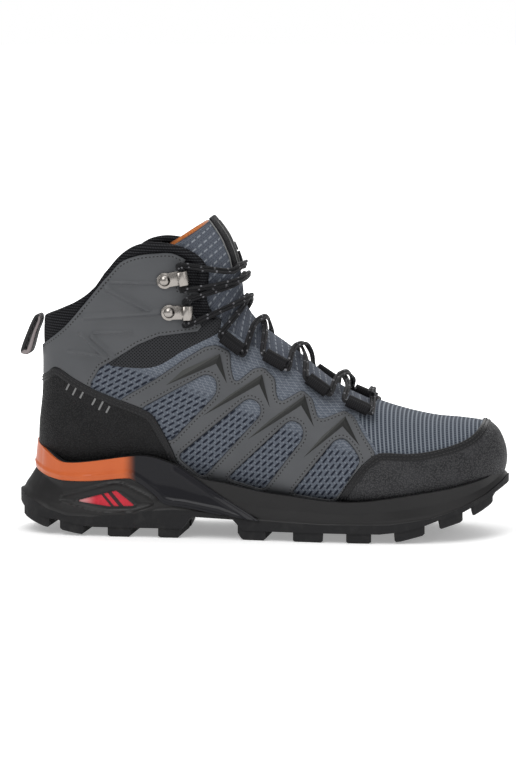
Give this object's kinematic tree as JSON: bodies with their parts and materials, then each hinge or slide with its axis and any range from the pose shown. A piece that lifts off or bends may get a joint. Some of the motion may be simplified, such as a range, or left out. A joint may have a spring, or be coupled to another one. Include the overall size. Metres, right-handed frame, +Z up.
{
  "type": "hiking boot",
  "caption": "Mid-height laced hiking boot, right foot, with lugged sole, padded collar, separate padded tongue, hooks, pull loop and removable insole.",
  "frame": {"origin": "on the ground under the middle of the sole", "axes": "+X towards the toe, +Y towards the inner (medial) side of this right boot, +Z up"},
  "size_m": [0.3, 0.108, 0.193],
  "materials": {
    "rubber_black": "matte moulded rubber",
    "foam_black": "satin moulded foam",
    "band_orange": "glossy orange fading to black",
    "insert_red": "glossy red",
    "shank_grey": "plain",
    "board_tan": "fibre board",
    "insole_dark": "knit over foam",
    "stiffener": "plain",
    "lining_black": "fine mesh",
    "mesh_blue_grey": "woven with light dashes",
    "rand_black": "fine pebbled texture",
    "overlay_grey": "smooth matte",
    "facet_dark": "satin",
    "net_black": "spacer net",
    "foam_grey": "open foam",
    "lining_orange": "fine mesh",
    "webbing_black": "woven with a light stripe",
    "hook_metal": "nickel plated",
    "rivet_metal": "nickel plated",
    "lace_black": "braided with light flecks",
    "aglet_black": "clear coated"
  },
  "bodies": {
    "boot": {"outsole": "rubber_black", "midsole": "foam_black", "heel_stabiliser": "band_orange", "window_inserts": "insert_red", "shank": "shank_grey", "insole_board": "board_tan", "heel_counter": "stiffener", "toe_puff": "stiffener", "lining": "lining_black", "upper_mesh": "mesh_blue_grey", "toe_cap": "rand_black", "heel_panel": "rand_black", "cage_lateral": "overlay_grey", "cage_medial": "overlay_grey", "chevrons_lateral": "facet_dark", "chevrons_medial": "facet_dark", "ankle_panel_lateral": "overlay_grey", "ankle_panel_medial": "overlay_grey", "flex_panels": "net_black", "collar": "net_black", "collar_foam": "foam_grey", "lace_loops": "webbing_black", "lace_hooks": "hook_metal", "hook_rivets": "rivet_metal", "hook_washers": "rivet_metal", "lace": "lace_black", "lace_aglets": "aglet_black"},
    "tongue": {"tongue_cover": "mesh_blue_grey", "tongue_foam": "foam_grey", "tongue_lining": "lining_orange", "tongue_label": "webbing_black"},
    "pull_tab": {"pull_loop": "webbing_black"},
    "footbed": {"insole": "insole_dark"}
  },
  "joints": [
    {"name": "tongue_hinge", "type": "hinge", "parent": "boot", "child": "tongue", "pos_m": [0.076, 0, 0.074], "axis": [0, 1, 0], "range_deg": [-3, 0]},
    {"name": "pull_loop_swing", "type": "hinge", "parent": "boot", "child": "pull_tab", "pos_m": [-0.1375, 0, 0.1305], "axis": [0, 1, 0], "range_deg": [-4, 110]},
    {"name": "insole_lift", "type": "hinge", "parent": "boot", "child": "footbed", "pos_m": [0.129, 0, 0.03], "axis": [0, 1, 0], "range_deg": [0, 5]}
  ]
}
